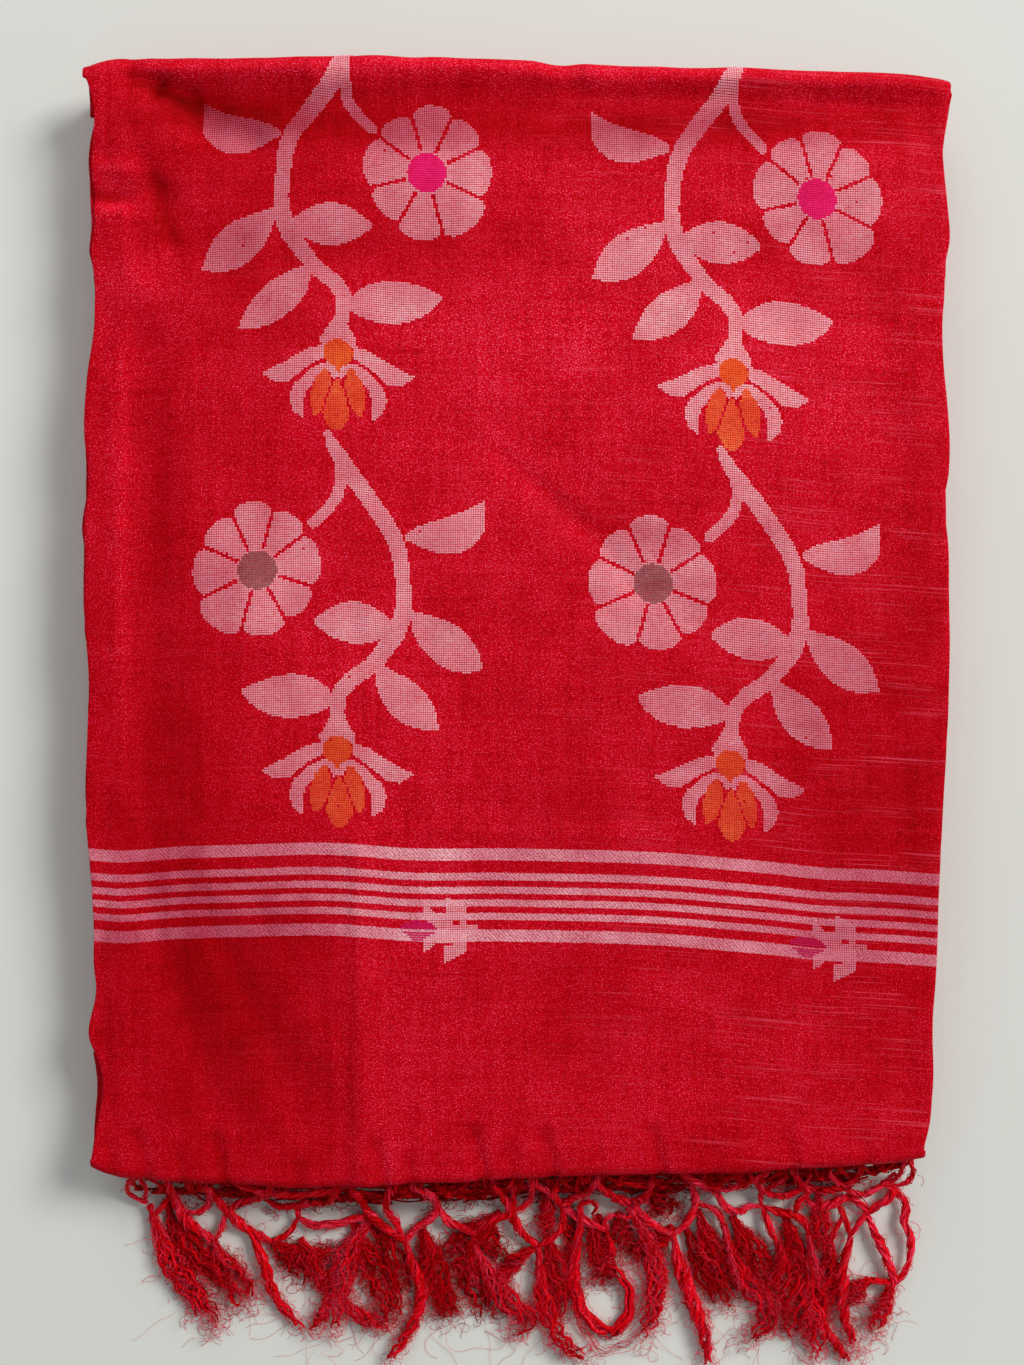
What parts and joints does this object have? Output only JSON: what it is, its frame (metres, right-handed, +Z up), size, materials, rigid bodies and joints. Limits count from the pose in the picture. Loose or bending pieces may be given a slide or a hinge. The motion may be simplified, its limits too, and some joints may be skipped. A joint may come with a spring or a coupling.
{
  "type": "folded saree",
  "caption": "Handwoven red saree folded into a flat rectangular bundle, with inlaid flowering vines, a stripe band and a knotted fringe laid out at the front.",
  "frame": {"origin": "middle of the whole piece's bounding box, on the flat underside that rests on the ground", "axes": "+X to the right across the folded cloth, +Y from the fringe at the front to the back fold, +Z up out of the stack"},
  "size_m": [0.296, 0.4566, 0.0263],
  "materials": {
    "cloth": "plain-woven matt cotton and silk with inlaid motifs",
    "fringe": "soft twisted yarn"
  },
  "bodies": {
    "root": {"top_stretch": "cloth", "second_stretch": "cloth", "tucked_end": "cloth", "folded_stack": "cloth", "fringe": "fringe"}
  },
  "joints": []
}
